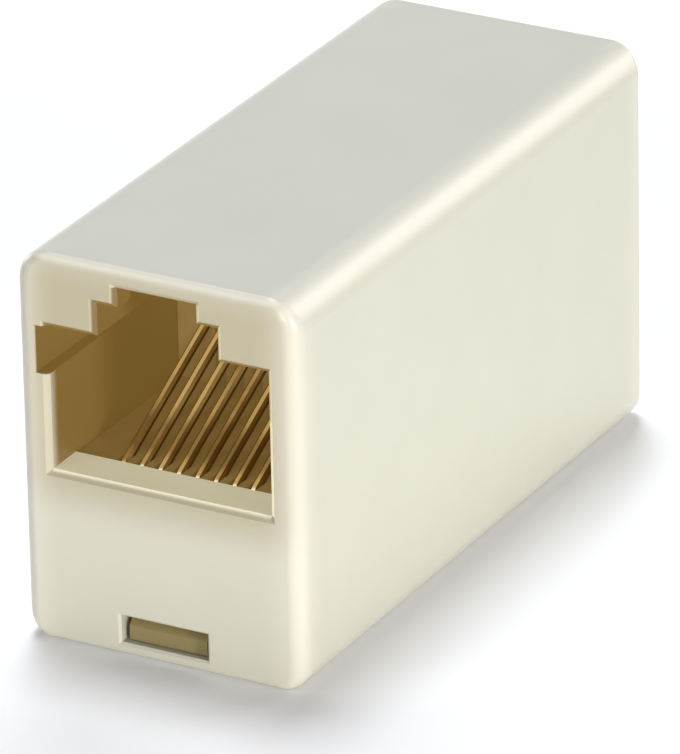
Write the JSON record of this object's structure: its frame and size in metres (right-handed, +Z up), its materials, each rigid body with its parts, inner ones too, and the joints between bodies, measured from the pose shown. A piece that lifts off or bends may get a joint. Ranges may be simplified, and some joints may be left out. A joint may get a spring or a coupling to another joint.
{
  "type": "rj45 inline coupler",
  "caption": "Straight inline coupler with a stepped modular plug socket in each end, joining two network cables end to end.",
  "frame": {"origin": "centre of the underside", "axes": "+Z up, +Y from the front jack to the rear jack, X across the mouths"},
  "size_m": [0.0154, 0.036, 0.0204],
  "materials": {
    "housing_plastic": "ivory moulded plastic, satin",
    "carrier_plastic": "natural moulded plastic, satin",
    "contact_gold": "gold plated sprung wire",
    "board_laminate": "glass laminate with solder mask"
  },
  "bodies": {
    "root": {"housing": "housing_plastic", "base_cover": "housing_plastic", "circuit_board": "board_laminate", "front_carrier": "carrier_plastic", "front_contact_1": "contact_gold", "front_contact_2": "contact_gold", "front_contact_3": "contact_gold", "front_contact_4": "contact_gold", "front_contact_5": "contact_gold", "front_contact_6": "contact_gold", "front_contact_7": "contact_gold", "front_contact_8": "contact_gold", "rear_carrier": "carrier_plastic", "rear_contact_1": "contact_gold", "rear_contact_2": "contact_gold", "rear_contact_3": "contact_gold", "rear_contact_4": "contact_gold", "rear_contact_5": "contact_gold", "rear_contact_6": "contact_gold", "rear_contact_7": "contact_gold", "rear_contact_8": "contact_gold"}
  },
  "joints": []
}
